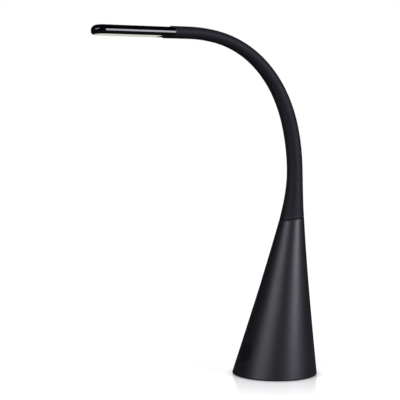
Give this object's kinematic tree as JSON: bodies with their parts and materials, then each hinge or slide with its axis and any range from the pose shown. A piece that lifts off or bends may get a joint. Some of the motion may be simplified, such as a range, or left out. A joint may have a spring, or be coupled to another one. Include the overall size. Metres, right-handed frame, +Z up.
{
  "type": "gooseneck desk lamp",
  "caption": "Gooseneck desk lamp: a leaning cone base, a silicone-sleeved neck that bends along its length, and a slim bar head with an LED diffuser underneath.",
  "frame": {"origin": "centre of the round foot pad's underside, on the table", "axes": "+Z up; -X towards the front, where the head reaches out and the touch cap faces; +X towards the back and the power inlet; the neck arches in the XZ plane"},
  "size_m": [0.3031, 0.1058, 0.425],
  "materials": {
    "base_paint": "satin black moulded shell, fine texture",
    "floor_plastic": "matt black moulding",
    "foot_rubber": "matt soft rubber",
    "iron": "as cast, machined on its pads",
    "steel": "zinc plated screws",
    "plated_steel": "turned, nickel plated",
    "coil_steel": "wound spring and wedge wire",
    "circuit_board": "solder mask over copper",
    "component_black": "moulded components",
    "connector_white": "natural nylon",
    "brass": "turned",
    "lead_jacket": "two-core lead's jacket",
    "foam": "conductive foam",
    "sleeve_silicone": "matt silicone with fine ribs around it",
    "gloss_black": "piano black",
    "collar_black": "semi-gloss black",
    "opal": "opal diffusing acrylic, lit from behind",
    "reflector_white": "matt white",
    "led_white": "LED packages",
    "aluminium": "rolled strip"
  },
  "bodies": {
    "base": {"base_shell": "base_paint", "base_plate": "floor_plastic", "foot_pad": "foot_rubber", "base_weight": "iron", "plate_screws": "steel", "weight_screws": "steel", "driver_board": "circuit_board", "driver_components": "component_black", "board_connectors": "connector_white", "board_screws": "steel", "touch_cap": "gloss_black", "touch_foam": "foam", "touch_board": "circuit_board", "touch_screws": "steel", "power_jack": "component_black", "jack_pin": "brass", "jack_lead": "lead_jacket", "touch_lead": "lead_jacket", "neck_ferrule": "plated_steel", "ferrule_washer": "plated_steel", "ferrule_nut": "plated_steel", "sleeve_root": "sleeve_silicone", "core_root": "coil_steel", "lead_root": "lead_jacket"},
    "link_1": {"sleeve_link_1": "sleeve_silicone", "core_link_1": "coil_steel", "lead_link_1": "lead_jacket"},
    "link_2": {"sleeve_link_2": "sleeve_silicone", "core_link_2": "coil_steel", "lead_link_2": "lead_jacket"},
    "link_3": {"sleeve_link_3": "sleeve_silicone", "core_link_3": "coil_steel", "lead_link_3": "lead_jacket"},
    "link_4": {"sleeve_link_4": "sleeve_silicone", "core_link_4": "coil_steel", "lead_link_4": "lead_jacket"},
    "link_5": {"sleeve_link_5": "sleeve_silicone", "core_link_5": "coil_steel", "lead_link_5": "lead_jacket"},
    "link_6": {"sleeve_link_6": "sleeve_silicone", "core_link_6": "coil_steel", "lead_link_6": "lead_jacket"},
    "link_7": {"sleeve_link_7": "sleeve_silicone", "core_link_7": "coil_steel", "lead_link_7": "lead_jacket"},
    "head": {"head_cover": "gloss_black", "head_tray": "gloss_black", "diffuser": "opal", "reflector": "reflector_white", "heat_spreader": "aluminium", "led_board": "aluminium", "led_chips": "led_white", "led_connector": "connector_white", "head_collar": "collar_black", "head_ferrule": "plated_steel", "grub_screw": "steel", "head_screws": "steel", "sleeve_tip": "sleeve_silicone", "core_tip": "coil_steel", "lead_tip": "lead_jacket"}
  },
  "joints": [
    {"name": "neck_bend_1", "type": "hinge", "parent": "base", "child": "link_1", "pos_m": [0.03075, 0, 0.2372], "axis": [0, -1, 0], "range_deg": [-24, 18]},
    {"name": "neck_sway_2", "type": "hinge", "parent": "link_1", "child": "link_2", "pos_m": [0.02976, 0, 0.27615], "axis": [0.9951, 0, 0.0993], "range_deg": [-24, 24]},
    {"name": "neck_bend_3", "type": "hinge", "parent": "link_2", "child": "link_3", "pos_m": [0.02253, 0, 0.31443], "axis": [0, -1, 0], "range_deg": [-24, 18]},
    {"name": "neck_bend_4", "type": "hinge", "parent": "link_3", "child": "link_4", "pos_m": [0.00752, 0, 0.35031], "axis": [0, -1, 0], "range_deg": [-24, 18]},
    {"name": "neck_sway_5", "type": "hinge", "parent": "link_4", "child": "link_5", "pos_m": [-0.01638, 0, 0.38096], "axis": [0.6921, 0, 0.7218], "range_deg": [-24, 24]},
    {"name": "neck_bend_6", "type": "hinge", "parent": "link_5", "child": "link_6", "pos_m": [-0.04819, 0, 0.40327], "axis": [0, -1, 0], "range_deg": [-24, 18]},
    {"name": "neck_bend_7", "type": "hinge", "parent": "link_6", "child": "link_7", "pos_m": [-0.08518, 0, 0.41515], "axis": [0, -1, 0], "range_deg": [-24, 18]},
    {"name": "neck_sway_8", "type": "hinge", "parent": "link_7", "child": "head", "pos_m": [-0.12405, 0, 0.41749], "axis": [-0.0419, 0, 0.9991], "range_deg": [-24, 24]}
  ]
}
